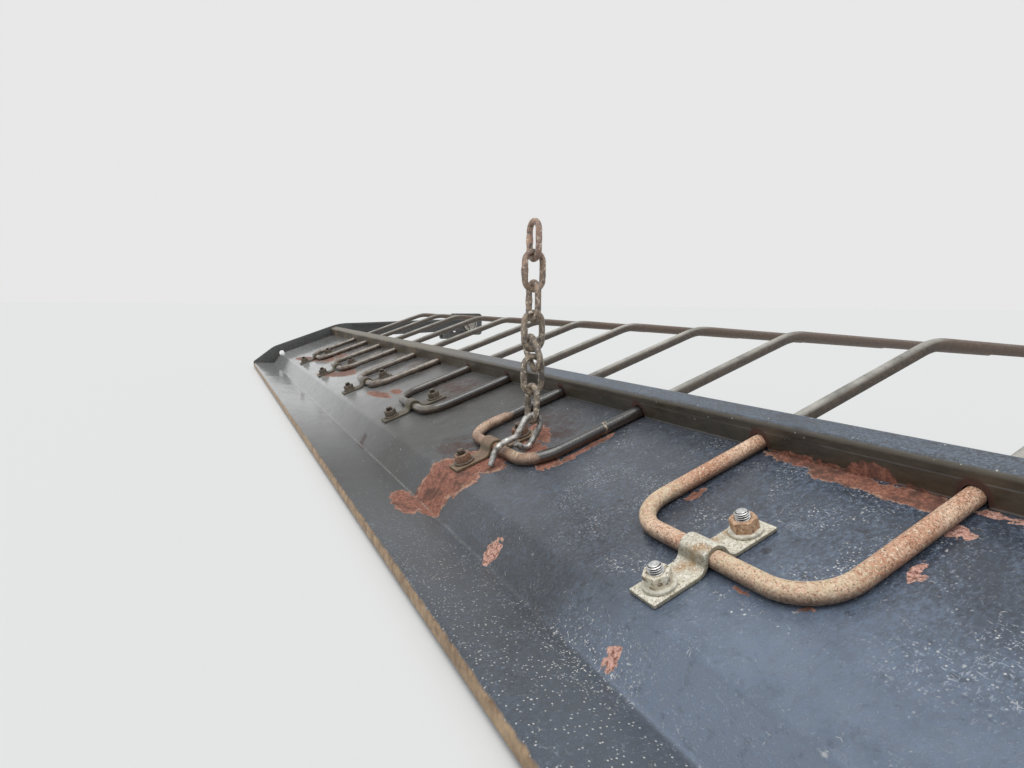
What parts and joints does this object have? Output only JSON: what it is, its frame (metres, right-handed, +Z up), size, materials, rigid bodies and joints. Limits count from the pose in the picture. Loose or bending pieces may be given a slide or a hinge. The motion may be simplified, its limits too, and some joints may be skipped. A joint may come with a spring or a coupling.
{
  "type": "baler pickup wind guard",
  "caption": "Crop guard for the pickup of a round baler: bent sheet with rod tines in saddle clamps, hinged on end arms, with its lift chain hooked on a tine.",
  "frame": {"origin": "centre of the left bracket's four holes, on its mounting face and on the pivot axis", "axes": "+X to the machine's left, +Y to the rear, +Z up"},
  "size_m": [2.159, 0.7127, 0.2511],
  "materials": {
    "guard_paint": "satin charcoal paint, scratched, with primer and rust showing",
    "tine_rod": "rusty rod, polished and dark where crop rubs it",
    "strap_zinc": "dull zinc under dust",
    "bolt_zinc": "zinc plate, partly rusted",
    "pivot_steel": "bare greased steel",
    "chain_steel": "weathered, rusty",
    "hook_steel": "bare, rubbed bright"
  },
  "bodies": {
    "brackets": {"bracket_left": "guard_paint", "stop_left": "guard_paint", "pin_left": "pivot_steel", "washer_left": "bolt_zinc", "linch_left": "bolt_zinc", "bracket_right": "guard_paint", "stop_right": "guard_paint", "pin_right": "pivot_steel", "washer_right": "bolt_zinc", "linch_right": "bolt_zinc"},
    "guard": {"guard_sheet": "guard_paint", "tine_rail": "guard_paint", "arm_left": "guard_paint", "arm_right": "guard_paint", "bush_left": "pivot_steel", "bush_right": "pivot_steel", "tine_1": "tine_rod", "tine_2": "tine_rod", "tine_3": "tine_rod", "tine_4": "tine_rod", "tine_5": "tine_rod", "tine_6": "tine_rod", "clamp_1": "strap_zinc", "clamp_2": "strap_zinc", "clamp_3": "strap_zinc", "clamp_4": "strap_zinc", "clamp_5": "strap_zinc", "clamp_6": "strap_zinc", "bolt_1_front": "bolt_zinc", "bolt_1_rear": "bolt_zinc", "bolt_2_front": "bolt_zinc", "bolt_2_rear": "bolt_zinc", "bolt_3_front": "bolt_zinc", "bolt_3_rear": "bolt_zinc", "bolt_4_front": "bolt_zinc", "bolt_4_rear": "bolt_zinc", "bolt_5_front": "bolt_zinc", "bolt_5_rear": "bolt_zinc", "bolt_6_front": "bolt_zinc", "bolt_6_rear": "bolt_zinc", "chain_hook": "hook_steel"},
    "chain": {"link_1": "chain_steel", "link_2": "chain_steel", "link_3": "chain_steel", "link_4": "chain_steel", "link_5": "chain_steel", "link_6": "chain_steel", "link_7": "chain_steel"}
  },
  "joints": [
    {"name": "guard_pivot", "type": "hinge", "parent": "brackets", "child": "guard", "pos_m": [-1.0795, 0, 0], "axis": [-1, 0, 0], "range_deg": [0, 25]},
    {"name": "chain_hang", "type": "hinge", "parent": "guard", "child": "chain", "pos_m": [-0.6655, -0.51448, -0.03621], "axis": [-1, 0, 0], "range_deg": [-25, 0]}
  ],
  "couplings": [
    {"joint": "chain_hang", "follows": "guard_pivot", "ratio": -1}
  ]
}
